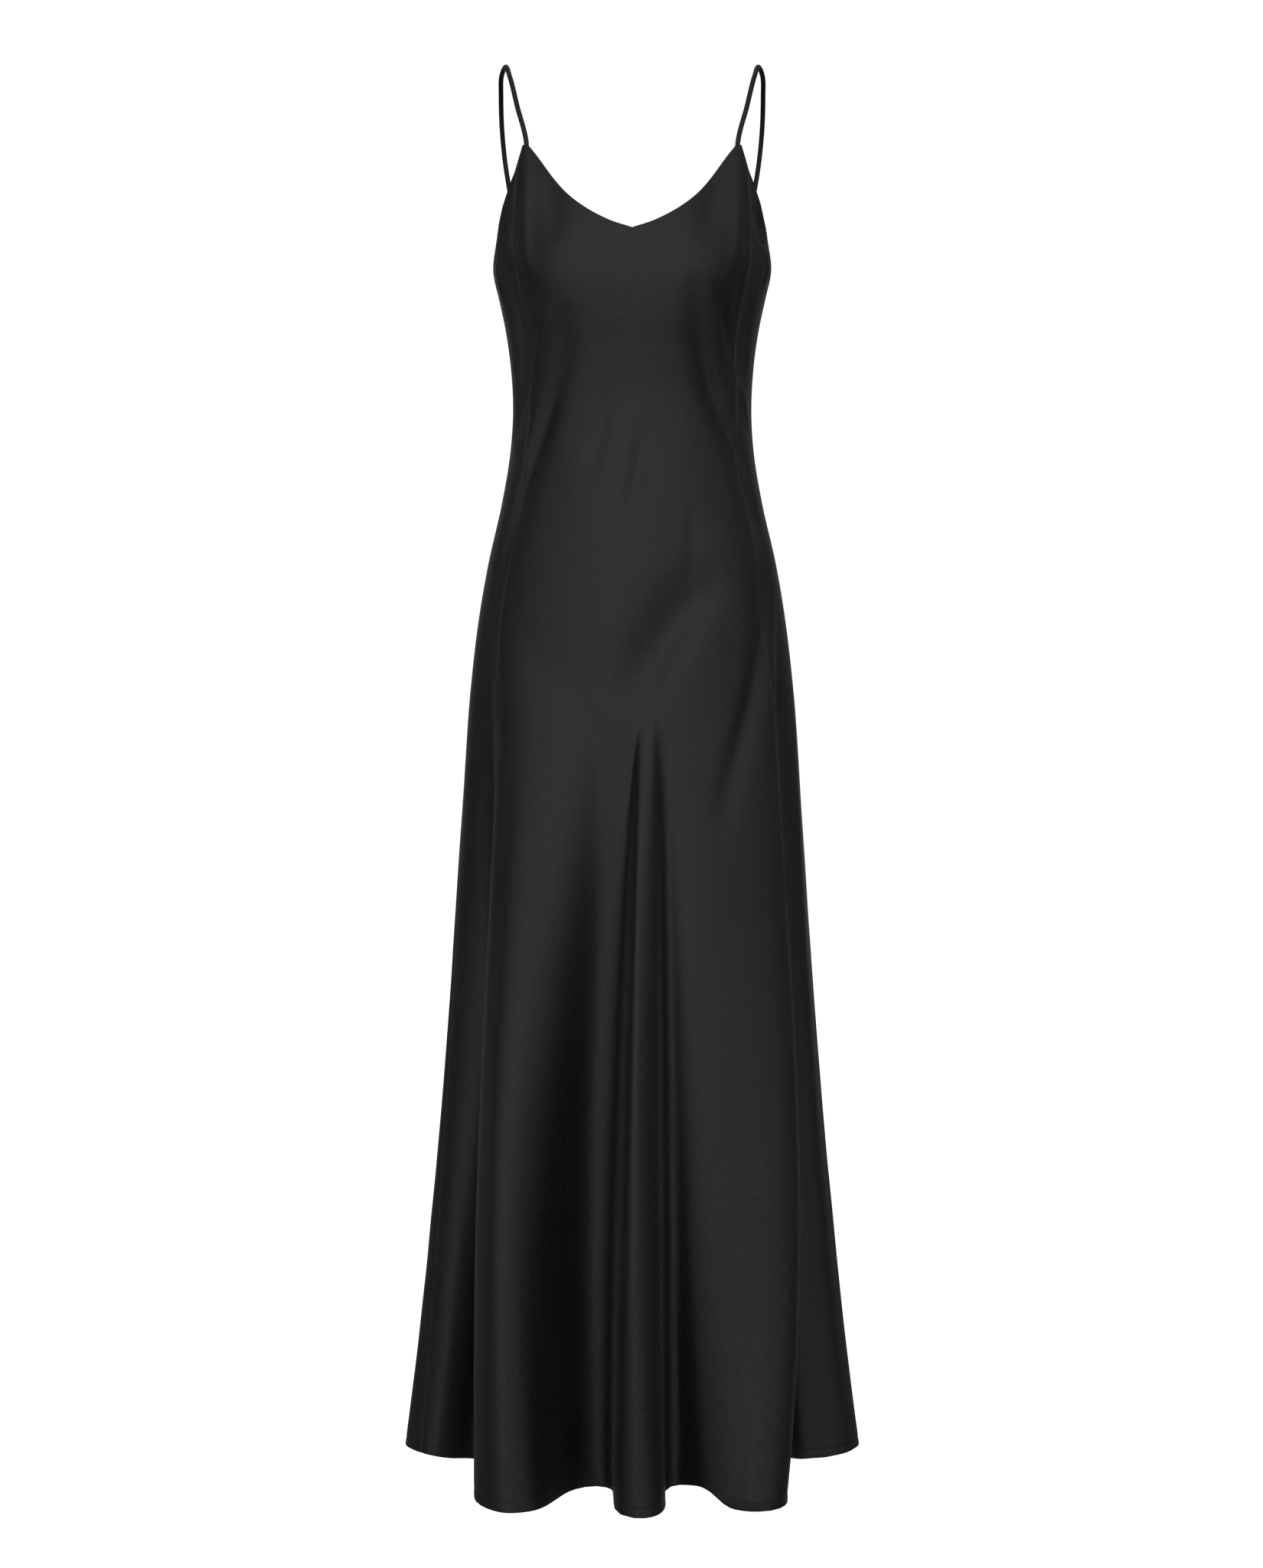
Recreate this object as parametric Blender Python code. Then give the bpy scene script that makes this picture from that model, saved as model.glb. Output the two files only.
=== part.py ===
"""A bias-cut satin slip dress, hollow as it is worn, with its front towards -Y.

Metres, +Z up. The origin is midway between the tops of the two straps, where the
wearer's shoulders hold the dress up, so every height below is negative.

Round the dress a place is given by its bearing in degrees: 0 at the side seam on -X,
90 at the centre front, 180 at the side seam on +X and 270 at the centre back.
"""

import math
from collections import namedtuple

import bmesh
import bpy
import numpy as np
from mathutils import Vector

# Driving sizes.
HEM_HEIGHT = -1.438
CLOTH = 0.0012
SEAM_GAP = 0.0003
STRAP_WIDTH = 0.0052
STRAP_THICKNESS = 0.0032
SHOULDER_SPAN = 0.264

# The plain form of the dress, before any fold: an oval ring at each height.
Section = namedtuple("Section", "height half_width front back")
SECTIONS = [Section(*row) for row in (
    (-0.060, 0.157, 0.072, 0.076),
    (-0.100, 0.149, 0.085, 0.088),
    (-0.145, 0.1438, 0.098, 0.096),
    (-0.180, 0.1428, 0.104, 0.099),
    (-0.216, 0.1448, 0.108, 0.100),
    (-0.240, 0.1395, 0.109, 0.098),
    (-0.270, 0.1330, 0.107, 0.094),
    (-0.310, 0.1270, 0.102, 0.088),
    (-0.358, 0.1244, 0.098, 0.082),
    (-0.400, 0.1268, 0.100, 0.085),
    (-0.454, 0.1356, 0.106, 0.096),
    (-0.518, 0.1500, 0.112, 0.109),
    (-0.582, 0.1608, 0.117, 0.118),
    (-0.646, 0.1684, 0.121, 0.122),
    (-0.774, 0.1776, 0.129, 0.126),
    (-0.966, 0.1904, 0.139, 0.132),
    (-1.158, 0.2064, 0.148, 0.140),
    (-1.350, 0.2264, 0.156, 0.148),
    (HEM_HEIGHT, 0.2376, 0.160, 0.152),
)]
SQUARENESS = 2.25

# Fullness that the bias cut gives over the bust, shoulder blades and seat.
Fullness = namedtuple("Fullness", "bearing height amount spread_degrees spread_height")
FULLNESS = [Fullness(*row) for row in (
    (53.0, -0.226, 0.010, 21.0, 0.072),
    (127.0, -0.226, 0.010, 21.0, 0.072),
    (238.0, -0.220, 0.005, 22.0, 0.060),
    (302.0, -0.220, 0.005, 22.0, 0.060),
    (247.0, -0.570, 0.006, 20.0, 0.070),
    (293.0, -0.570, 0.006, 20.0, 0.070),
)]

# The skirt's flutes and the troughs between them, in order round the dress. "starts" is the
# height where each begins, and "grows" how it grows from there: 1 evenly, less sooner.
Fold = namedtuple("Fold", "name starts grows")
FOLDS = [Fold(*row) for row in (
    ("left_side_flare", -0.60, 1.0),
    ("left_front_trough", -0.54, 0.8),
    ("left_front_flute", -0.62, 0.65),
    ("left_centre_trough", -0.76, 0.55),
    ("centre_flute", -0.69, 0.5),
    ("right_centre_trough", -0.68, 0.5),
    ("right_front_flute", -0.66, 1.35),
    ("right_front_trough", -0.54, 0.8),
    ("right_side_flare", -0.60, 1.0),
    ("right_back_trough", -0.66, 1.0),
    ("right_back_flute", -0.72, 1.0),
    ("right_seat_trough", -0.76, 1.0),
    ("back_flute", -0.78, 1.0),
    ("left_seat_trough", -0.74, 1.0),
    ("left_back_flute", -0.70, 1.0),
    ("left_back_trough", -0.64, 1.0),
)]
FOLD_TOP = -0.56
FOLD_SOFTNESS = 0.10

# The lines of cloth that the folds are made of, with a line's bearing at the hip, half way
# down and at the hem, its distance from the dress's axis at the hem, and how far the hem
# drops there, as a bias hem does. A line with no name lies between two named ones.
FoldLine = namedtuple("FoldLine", "fold hip_bearing middle_bearing hem_bearing reach drop")
FOLD_LINES = [FoldLine(*row) for row in (
    ("left_side_flare", -1.0, -1.0, -1.0, 0.2376, 0.0),
    ("", 3.5, 4.0, 5.0, 0.2278, 0.0),
    ("", 6.5, 7.5, 9.6, 0.2158, 0.0),
    ("", 9.0, 10.0, 11.6, 0.2040, 0.0013),
    ("", 11.5, 12.0, 10.9, 0.1910, 0.0042),
    ("", 13.8, 13.8, 8.7, 0.1777, 0.0067),
    ("", 15.8, 15.5, 6.5, 0.1650, 0.0095),
    ("left_front_trough", 18.0, 18.0, 8.0, 0.1575, 0.0100),
    ("", 22.0, 23.0, 18.4, 0.1580, 0.0080),
    ("", 27.0, 30.0, 34.0, 0.1786, 0.0040),
    ("", 32.5, 37.0, 44.8, 0.2128, 0.0010),
    ("", 38.0, 43.0, 51.1, 0.2443, 0.0),
    ("", 43.5, 48.5, 56.0, 0.2615, 0.0),
    ("left_front_flute", 50.0, 53.0, 62.0, 0.2715, 0.0),
    ("", 60.5, 57.0, 65.4, 0.2675, 0.0),
    ("", 71.0, 60.5, 68.2, 0.2545, 0.0),
    ("", 79.5, 64.5, 69.7, 0.2290, 0.0),
    ("", 84.0, 68.3, 69.9, 0.1960, 0.0),
    ("", 86.5, 72.0, 71.8, 0.1700, 0.0),
    ("left_centre_trough", 88.5, 76.3, 76.5, 0.1575, 0.0),
    ("", 90.2, 81.5, 81.5, 0.1610, 0.0),
    ("", 91.5, 85.4, 84.0, 0.1800, 0.0),
    ("", 92.6, 87.2, 85.3, 0.2157, 0.0),
    ("", 93.8, 88.6, 87.2, 0.2470, 0.0),
    ("centre_flute", 95.2, 90.4, 91.3, 0.2610, 0.0),
    ("", 97.2, 93.0, 95.2, 0.2530, 0.0),
    ("", 99.2, 96.0, 97.4, 0.2360, 0.0),
    ("", 101.2, 99.0, 98.7, 0.2080, 0.0),
    ("", 103.2, 101.6, 100.2, 0.1780, 0.0),
    ("right_centre_trough", 105.6, 105.3, 104.3, 0.1650, -0.0023),
    ("", 108.2, 108.0, 106.7, 0.1725, -0.0045),
    ("", 111.8, 111.6, 108.6, 0.1855, -0.0069),
    ("", 115.0, 115.0, 110.1, 0.1950, -0.0073),
    ("", 119.5, 119.6, 112.4, 0.2065, -0.0022),
    ("", 124.3, 124.3, 114.6, 0.2170, 0.0064),
    ("", 131.3, 131.0, 117.7, 0.2315, 0.0093),
    ("right_front_flute", 137.0, 136.0, 119.9, 0.2400, 0.0091),
    ("", 140.5, 139.5, 122.5, 0.2445, 0.0090),
    ("", 144.7, 143.2, 126.1, 0.2440, 0.0087),
    ("", 148.4, 146.5, 129.5, 0.2360, 0.0092),
    ("", 152.0, 149.5, 135.4, 0.2135, 0.0090),
    ("", 155.0, 152.5, 143.6, 0.1850, 0.0080),
    ("", 158.0, 155.5, 154.4, 0.1620, 0.0070),
    ("", 160.5, 158.5, 163.0, 0.1540, 0.0065),
    ("right_front_trough", 162.5, 161.0, 168.3, 0.1575, 0.0060),
    ("", 164.5, 163.5, 168.5, 0.1755, 0.0053),
    ("", 166.5, 165.5, 168.7, 0.1885, 0.0040),
    ("", 168.8, 167.5, 169.7, 0.2005, 0.0035),
    ("", 171.2, 170.0, 171.1, 0.2130, 0.0019),
    ("", 173.8, 172.8, 173.4, 0.2250, 0.0006),
    ("", 176.8, 176.5, 175.8, 0.2305, 0.0),
    ("right_side_flare", 181.0, 181.0, 181.0, 0.2376, 0.0),
    ("", 188.0, 189.0, 190.0, 0.2260, 0.0),
    ("", 196.0, 197.0, 198.0, 0.1930, 0.0),
    ("right_back_trough", 205.0, 206.0, 207.0, 0.1670, 0.0),
    ("", 214.0, 215.0, 216.0, 0.1800, 0.0),
    ("", 223.0, 224.0, 225.0, 0.2300, 0.0),
    ("right_back_flute", 232.0, 233.0, 234.0, 0.2520, 0.0),
    ("", 240.0, 241.0, 242.0, 0.2260, 0.0),
    ("", 247.0, 247.0, 247.0, 0.1800, 0.0),
    ("right_seat_trough", 254.0, 254.0, 254.0, 0.1580, 0.0),
    ("", 262.0, 261.0, 260.5, 0.1720, 0.0),
    ("", 268.0, 266.5, 265.0, 0.2180, 0.0),
    ("back_flute", 274.0, 273.0, 271.5, 0.2430, 0.0),
    ("", 280.0, 279.0, 278.0, 0.2200, 0.0),
    ("", 286.0, 284.5, 283.0, 0.1780, 0.0),
    ("left_seat_trough", 292.0, 291.0, 290.0, 0.1600, 0.0),
    ("", 299.0, 298.0, 297.0, 0.1780, 0.0),
    ("", 305.0, 303.5, 302.0, 0.2280, 0.0),
    ("left_back_flute", 312.0, 311.0, 310.0, 0.2550, 0.0),
    ("", 321.0, 320.0, 319.0, 0.2300, 0.0),
    ("", 330.0, 328.5, 327.0, 0.1880, 0.0),
    ("left_back_trough", 338.0, 337.0, 336.0, 0.1700, 0.0),
    ("", 346.0, 345.5, 345.0, 0.1900, 0.0),
    ("", 352.5, 352.2, 352.0, 0.2210, 0.0),
)]

# The top edges, measured round from the nearer side seam. Each panel has an armhole edge
# from the underarm to its strap point, and from there a neck edge to its centre.
EdgePoint = namedtuple("EdgePoint", "from_seam height")
FRONT_ARMHOLE = [EdgePoint(*row) for row in (
    (0.0, -0.2160),
    (6.0, -0.2045),
    (12.0, -0.1755),
    (16.5, -0.1590),
    (21.0, -0.1435),
    (24.5, -0.1290),
    (27.0, -0.1165),
    (28.0, -0.1045),
    (28.6, -0.0950),
)]
FRONT_NECKLINE = [EdgePoint(*row) for row in (
    (30.8, -0.0950),
    (37.0, -0.1105),
    (46.0, -0.1325),
    (56.0, -0.1530),
    (65.0, -0.1672),
    (77.0, -0.1802),
    (90.0, -0.1886),
)]
BACK_ARMHOLE = [EdgePoint(*row) for row in (
    (0.0, -0.2160),
    (12.0, -0.2190),
    (24.0, -0.2140),
    (34.0, -0.2040),
    (40.0, -0.1960),
)]
BACK_NECKLINE = [EdgePoint(*row) for row in (
    (42.4, -0.1960),
    (50.0, -0.2060),
    (62.0, -0.2160),
    (76.0, -0.2210),
    (90.0, -0.2225),
)]

# The side seams: the one on -X swings forwards on its way to the hem. Places count the
# rows of FOLDS round the dress.
Seam = namedtuple("Seam", "hip_bearing hem_place")
LEFT_SEAM = Seam(0.0, 0.36)
RIGHT_SEAM = Seam(180.0, 8.3)
SEAM_SWING_TOP = -0.75

# A strap on the +X side, from the front strap point over the shoulder to the back one,
# and the y and height of the middle of the shoulder that it goes round.
RoutePoint = namedtuple("RoutePoint", "x y height")
STRAP_ROUTE = [RoutePoint(*row) for row in (
    (0.1180, -0.0420, -0.0510),
    (0.1270, -0.0180, -0.0130),
    (SHOULDER_SPAN / 2, 0.0000, STRAP_THICKNESS / 2),
    (0.1374, 0.0200, -0.0020),
    (0.1393, 0.0450, -0.0170),
    (0.1393, 0.0680, -0.0480),
    (0.1350, 0.0840, -0.0900),
    (0.1240, 0.0930, -0.1400),
)]
SHOULDER_CENTRE = (0.010, -0.120)

# How finely each piece is faceted. Rows crowd towards the top, and columns towards the
# bends of the folds: a full radian of bend counts as BEND_WORTH metres of hem, and a metre
# of hip as HIP_WORTH of hem. The two steps are those that the cloth's directions are
# measured over.
PANEL_ROWS = 17
FRONT_COLUMNS = (13, 1, 16, 16, 1, 13)
BACK_COLUMNS = (14, 1, 15, 15, 1, 14)
ROW_CROWDING = 1.5
BEND_WORTH = 0.035
HIP_WORTH = 0.5
PLACE_STEP = 0.02
HEIGHT_STEP = 0.005
STRAP_SIDES = 10
STRAP_STATIONS = 22

SATIN = {"base": (0.012, 0.012, 0.013, 1.0), "roughness": 0.34, "metallic": 0.0}


def clear_scene():
    for thing in list(bpy.data.objects):
        bpy.data.objects.remove(thing, do_unlink=True)


def read_table(rows, at):
    """The values of a table's other columns where its first column is `at`, joined smoothly."""
    table = np.array(rows, float)
    table = table[np.argsort(table[:, 0])]
    key, values = table[:, 0], table[:, 1:]
    slopes = np.gradient(values, key, axis=0)
    at = min(max(at, key[0]), key[-1])
    i = min(int(np.searchsorted(key, at, side="right")) - 1, len(key) - 2)
    span = key[i + 1] - key[i]
    t = (at - key[i]) / span
    return (
        (1 + 2 * t) * (1 - t) ** 2 * values[i]
        + t * (1 - t) ** 2 * span * slopes[i]
        + t * t * (3 - 2 * t) * values[i + 1]
        - t * t * (1 - t) * span * slopes[i + 1]
    )


def plain_radius(bearing, height):
    """How far the plain form lies from the dress's axis."""
    half_width, front, back = read_table(SECTIONS, height)
    along, across = math.cos(math.radians(bearing)), math.sin(math.radians(bearing))
    depth = front if across > 0 else back
    oval = abs(along / half_width) ** SQUARENESS + abs(across / depth) ** SQUARENESS
    radius = oval ** (-1 / SQUARENESS)
    for centre, level, amount, spread_degrees, spread_height in FULLNESS:
        off = (bearing - centre + 180) % 360 - 180
        radius += amount * math.exp(-((off / spread_degrees) ** 2) - ((height - level) / spread_height) ** 2)
    return radius


def way_down(height, top):
    """0 at `top` and above, 1 at the hem."""
    return min(max((top - height) / (top - HEM_HEIGHT), 0.0), 1.0)


class ClosedCurve:
    """A smooth closed curve through values at keys that go once round, from 0 to `turn`."""

    def __init__(self, keys, values, turn):
        self.keys, self.values, self.turn = np.array(keys, float), np.array(values, float), turn
        n = len(keys)
        self.gap = np.diff(np.append(self.keys, self.keys[0] + turn))
        self.rise = (np.roll(self.values, -1, axis=0) - self.values) / self.gap[:, None]
        bends = np.zeros((n, n))
        for i in range(n):
            bends[i, i - 1] += self.gap[i - 1]
            bends[i, i] += 2 * (self.gap[i - 1] + self.gap[i])
            bends[i, (i + 1) % n] += self.gap[i]
        self.bend = np.linalg.solve(bends, 6 * (self.rise - np.roll(self.rise, 1, axis=0)))

    def __call__(self, at):
        at = np.asarray(at, float) % self.turn
        i = np.clip(np.searchsorted(self.keys, at, side="right") - 1, 0, len(self.keys) - 1)
        bend, next_bend = self.bend[i], self.bend[(i + 1) % len(self.keys)]
        g, t = np.asarray(self.gap[i])[..., None], np.asarray(at - self.keys[i])[..., None]
        slope = self.rise[i] - g * (2 * bend + next_bend) / 6
        return np.moveaxis(self.values[i] + t * (slope + t * (bend / 2 + t * (next_bend - bend) / (6 * g))), -1, 0)


def line_places():
    """The places of the FOLD_LINES, counted in folds, by their length of cloth at the hem."""
    names = [fold.name for fold in FOLDS]
    angle, reach = np.radians([line.hem_bearing for line in FOLD_LINES]), np.array([line.reach for line in FOLD_LINES])
    hem = np.column_stack([reach * np.cos(angle), reach * np.sin(angle)])
    steps = np.linalg.norm(np.roll(hem, -1, axis=0) - hem, axis=1)
    named = [i for i, line in enumerate(FOLD_LINES) if line.fold]
    places = np.zeros(len(FOLD_LINES))
    for start, end in zip(named, [*named[1:], len(FOLD_LINES)]):
        so_far = np.concatenate([[0], np.cumsum(steps[start:end])])
        places[start:end] = names.index(FOLD_LINES[start].fold) + so_far[:-1] / so_far[-1]
    return places


DEGREES_PER_FOLD = 360 / len(FOLDS)
LINE_PLACES = line_places()
LINE_VALUES = [
    (*(bearing - place * DEGREES_PER_FOLD for bearing in line[1:4]), line.reach, line.drop)
    for line, place in zip(FOLD_LINES, LINE_PLACES)
]
LINES = ClosedCurve(LINE_PLACES, LINE_VALUES, len(FOLDS))
GROWTH = ClosedCurve(range(len(FOLDS)), [fold[1:] for fold in FOLDS], len(FOLDS))


def bearing_of(place, height):
    """The bearing of a place, which counts the rows of FOLDS round the dress."""
    hip, middle, hem, _, _ = LINES(place)
    w = way_down(height, FOLD_TOP)
    return place * DEGREES_PER_FOLD + hip * (1 - 2 * w) * (1 - w) + middle * 4 * w * (1 - w) + hem * w * (2 * w - 1)


def relief_of(place, height):
    """How far a flute stands out of the plain form, or a trough lies inside it."""
    starts, grows = GROWTH(place)
    _, _, hem, reach, _ = LINES(place)
    full = reach - plain_radius(place * DEGREES_PER_FOLD + hem, HEM_HEIGHT)
    down = way_down(height, starts)
    return full * down ** (1 + grows) * (1 + FOLD_SOFTNESS) / (down + FOLD_SOFTNESS)


def hem_height(place):
    """The height of the hem at a place."""
    return HEM_HEIGHT - LINES(place)[4]


ROUND_TWICE = np.linspace(-1, 2 * len(FOLDS), 40 * len(FOLDS))
HIP_BEARINGS = [bearing_of(place, FOLD_TOP) for place in ROUND_TWICE]


def place_of(bearing, height):
    """The place of a bearing at a height."""
    place = float(np.interp(bearing, HIP_BEARINGS, ROUND_TWICE))
    for _ in range(10):
        here = bearing_of(place, height)
        slope = (bearing_of(place + 0.01, height) - here) / 0.01
        place += min(max((bearing - here) / max(slope, 3.0), -0.5), 0.5)
    return place


def seam_place(seam, height):
    hip_place = place_of(seam.hip_bearing, FOLD_TOP)
    return hip_place + (seam.hem_place - hip_place) * way_down(height, SEAM_SWING_TOP)


def cloth_point(place, height):
    """A point on the outside of the cloth."""
    bearing = bearing_of(place, height)
    radius = plain_radius(bearing, height) + relief_of(place, height)
    angle = math.radians(bearing)
    return Vector((-radius * math.cos(angle), -radius * math.sin(angle), height))


def along_cloth(place, height):
    """The level direction along the cloth towards a greater bearing."""
    ahead, behind = cloth_point(place + PLACE_STEP, height), cloth_point(place - PLACE_STEP, height)
    return (ahead - behind).normalized()


def cloth_normal(place, height):
    """The outward normal of the cloth, the same for the two panels that meet at a seam."""
    down = cloth_point(place, height - HEIGHT_STEP) - cloth_point(place, height + HEIGHT_STEP)
    return down.cross(along_cloth(place, height)).normalized()


def even_places(marks, counts):
    """Places for a panel's columns: `counts` of them between one mark and the next,
    spaced along the hip and the hem, closer where the hem bends."""
    places = [marks[0]]
    for start, end, count in zip(marks, marks[1:], counts):
        fine = np.linspace(start, end, 241)
        hem = np.diff([cloth_point(place, HEM_HEIGHT) for place in fine], axis=0)
        hip = np.diff([cloth_point(place, FOLD_TOP) for place in fine], axis=0)
        heading = np.unwrap(np.arctan2(hem[:, 1], hem[:, 0]))
        worth = np.linalg.norm(hem, axis=1) + HIP_WORTH * np.linalg.norm(hip, axis=1)
        worth += BEND_WORTH * np.abs(np.gradient(heading))
        so_far = np.concatenate([[0], np.cumsum(worth)])
        wanted = so_far[-1] * np.arange(1, count + 1) / count
        places += list(np.interp(wanted, so_far, fine))
    return places


def mirrored(marks):
    """Marks measured from one seam, carried on to the other seam of the same panel."""
    return list(marks) + [90.0] + [180.0 - mark for mark in reversed(marks)]


def edge_height(armhole, neckline, from_seam):
    """The height of a panel's top edge, which is straight across its strap point."""
    if from_seam <= armhole[-1].from_seam:
        return read_table(armhole, from_seam)[0]
    if from_seam >= neckline[0].from_seam:
        return read_table(neckline, from_seam)[0]
    return neckline[0].height


def panel_points(first_seam, last_seam, armhole, neckline, counts):
    """(outer, inner) rows of points of a panel, from its top edge down to the hem."""
    top = neckline[-1].height
    start = first_seam.hip_bearing
    marks = mirrored((0.0, armhole[-1].from_seam, neckline[0].from_seam))
    places = even_places([place_of(start + mark, top) for mark in marks], counts)
    from_start = [bearing_of(place, top) - start for place in places]
    edge = [edge_height(armhole, neckline, min(mark, 180 - mark)) for mark in from_start]
    share_round = [(place - places[0]) / (places[-1] - places[0]) for place in places]
    begin, end = seam_place(first_seam, HEM_HEIGHT), seam_place(last_seam, HEM_HEIGHT)
    hem = [hem_height(begin + (end - begin) * share) for share in share_round]
    gap = [0.0] * len(places)
    gap[0], gap[-1] = SEAM_GAP / 2, -SEAM_GAP / 2
    outer, inner = [], []
    for row in range(PANEL_ROWS + 1):
        share_down = (row / PANEL_ROWS) ** ROW_CROWDING
        outer_row = []
        inner_row = []
        for highest, lowest, share, seam_gap in zip(edge, hem, share_round, gap):
            height = highest + (lowest - highest) * share_down
            begin, end = seam_place(first_seam, height), seam_place(last_seam, height)
            place = begin + (end - begin) * share
            point = cloth_point(place, height) + along_cloth(place, height) * seam_gap
            outer_row.append(point)
            inner_row.append(point - cloth_normal(place, height) * CLOTH)
        outer.append(outer_row)
        inner.append(inner_row)
    return outer, inner


def add_object(name, bm, material):
    bmesh.ops.recalc_face_normals(bm, faces=bm.faces)
    mesh = bpy.data.meshes.new(name)
    bm.to_mesh(mesh)
    bm.free()
    mesh.shade_smooth()
    mesh.set_sharp_from_angle(angle=math.radians(50))
    mesh.materials.append(material)
    thing = bpy.data.objects.new(name, mesh)
    bpy.context.scene.collection.objects.link(thing)
    return thing


def build_panel(name, points, material):
    """A wall of cloth: its outside, its inside and the four edges that join them."""
    bm = bmesh.new()
    outer, inner = ([[bm.verts.new(p) for p in row] for row in layer] for layer in points)
    for layer in (outer, inner):
        for above, below in zip(layer, layer[1:]):
            for a, b, c, d in zip(above, above[1:], below[1:], below):
                bm.faces.new((a, b, c, d))
    rim = [outer[0], outer[-1], [row[0] for row in outer], [row[-1] for row in outer]]
    rim_inside = [inner[0], inner[-1], [row[0] for row in inner], [row[-1] for row in inner]]
    for out_line, in_line in zip(rim, rim_inside):
        for a, b, c, d in zip(out_line, out_line[1:], in_line[1:], in_line):
            bm.faces.new((a, b, c, d))
    return add_object(name, bm, material)


StrapEnd = namedtuple("StrapEnd", "middle upwards sideways outwards")


def strap_end(points, column):
    """The top edge of a strap point, between a column of points and the next one."""
    outer, inner = (layer[0] for layer in points)
    corners = [outer[column], outer[column + 1], inner[column], inner[column + 1]]
    middle = sum(corners, Vector()) / 4
    outwards = (corners[0] + corners[1] - corners[2] - corners[3]).normalized()
    sideways = (corners[1] - corners[0]).normalized()
    upwards = outwards.cross(sideways).normalized()
    return StrapEnd(middle, upwards, sideways, outwards)


def strap_line(route, count):
    """Points evenly spaced on one smooth curve through the route's points."""
    knots = np.array([tuple(p) for p in route])
    spacing = np.concatenate([[0], np.cumsum(np.linalg.norm(np.diff(knots, axis=0), axis=1))])
    rows = [(s, *p) for s, p in zip(spacing, knots)]
    fine = np.array([read_table(rows, s) for s in np.linspace(0, spacing[-1], 400)])
    lengths = np.concatenate([[0], np.cumsum(np.linalg.norm(np.diff(fine, axis=0), axis=1))])
    wanted = np.linspace(0, lengths[-1], count)
    return [Vector([np.interp(w, lengths, fine[:, axis]) for axis in range(3)]) for w in wanted]


def strap_directions(line, i):
    """A strap's directions across itself and away from the shoulder, at one of its points."""
    along = (line[i + 1] - line[i - 1]).normalized()
    outwards = line[i] - Vector((line[i].x, *SHOULDER_CENTRE))
    outwards = (outwards - along * outwards.dot(along)).normalized()
    return along.cross(outwards), outwards


def build_strap(name, side, front_end, back_end, material):
    """A turned satin strap: a flattened tube of cloth from one strap point to the other."""
    route = [Vector((side * point.x, point.y, point.height)) for point in STRAP_ROUTE]
    ends = [end.middle + end.upwards * SEAM_GAP for end in (front_end, back_end)]
    line = strap_line([ends[0], *route, ends[1]], STRAP_STATIONS)
    directions = [strap_directions(line, i) for i in range(1, len(line) - 1)]
    directions.insert(0, (front_end.sideways, front_end.outwards))
    directions.append((back_end.sideways, back_end.outwards))
    bm = bmesh.new()
    rings = []
    for point, (across, outwards) in zip(line, directions):
        if across.x < 0:
            across = -across
        ring = []
        for corner in range(STRAP_SIDES):
            angle = 2 * math.pi * corner / STRAP_SIDES
            offset = across * (math.cos(angle) * STRAP_WIDTH / 2)
            offset += outwards * (math.sin(angle) * STRAP_THICKNESS / 2)
            ring.append(bm.verts.new(point + offset))
        rings.append(ring)
    for here, there in zip(rings, rings[1:]):
        for corner in range(STRAP_SIDES):
            after = (corner + 1) % STRAP_SIDES
            bm.faces.new((here[corner], here[after], there[after], there[corner]))
    bm.faces.new(rings[0])
    bm.faces.new(rings[-1])
    return add_object(name, bm, material)


def satin_material():
    material = bpy.data.materials.new("satin")
    material.use_nodes = True
    shader = material.node_tree.nodes["Principled BSDF"]
    shader.inputs["Base Color"].default_value = SATIN["base"]
    shader.inputs["Roughness"].default_value = SATIN["roughness"]
    shader.inputs["Metallic"].default_value = SATIN["metallic"]
    return material


def main():
    clear_scene()
    satin = satin_material()
    front = panel_points(LEFT_SEAM, RIGHT_SEAM, FRONT_ARMHOLE, FRONT_NECKLINE, FRONT_COLUMNS)
    left_seam_again = Seam(LEFT_SEAM.hip_bearing + 360, LEFT_SEAM.hem_place + len(FOLDS))
    back = panel_points(RIGHT_SEAM, left_seam_again, BACK_ARMHOLE, BACK_NECKLINE, BACK_COLUMNS)
    build_panel("front_panel", front, satin)
    build_panel("back_panel", back, satin)
    front_left, front_right = FRONT_COLUMNS[0], sum(FRONT_COLUMNS[:4])
    back_right, back_left = BACK_COLUMNS[0], sum(BACK_COLUMNS[:4])
    build_strap("strap_left", -1, strap_end(front, front_left), strap_end(back, back_left), satin)
    build_strap("strap_right", 1, strap_end(front, front_right), strap_end(back, back_right), satin)


main()
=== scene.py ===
"""The looks of a black bias-cut satin slip dress, hollow as it is worn.

Metres, +Z up, the front towards -Y. Bearings are in degrees round the dress's own axis:
0 at the side seam on -X, 90 at the centre front, 180 at the other side seam and 270 at
the centre back.
"""

import math

import bmesh
import bpy
import numpy as np
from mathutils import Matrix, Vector, noise


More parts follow.
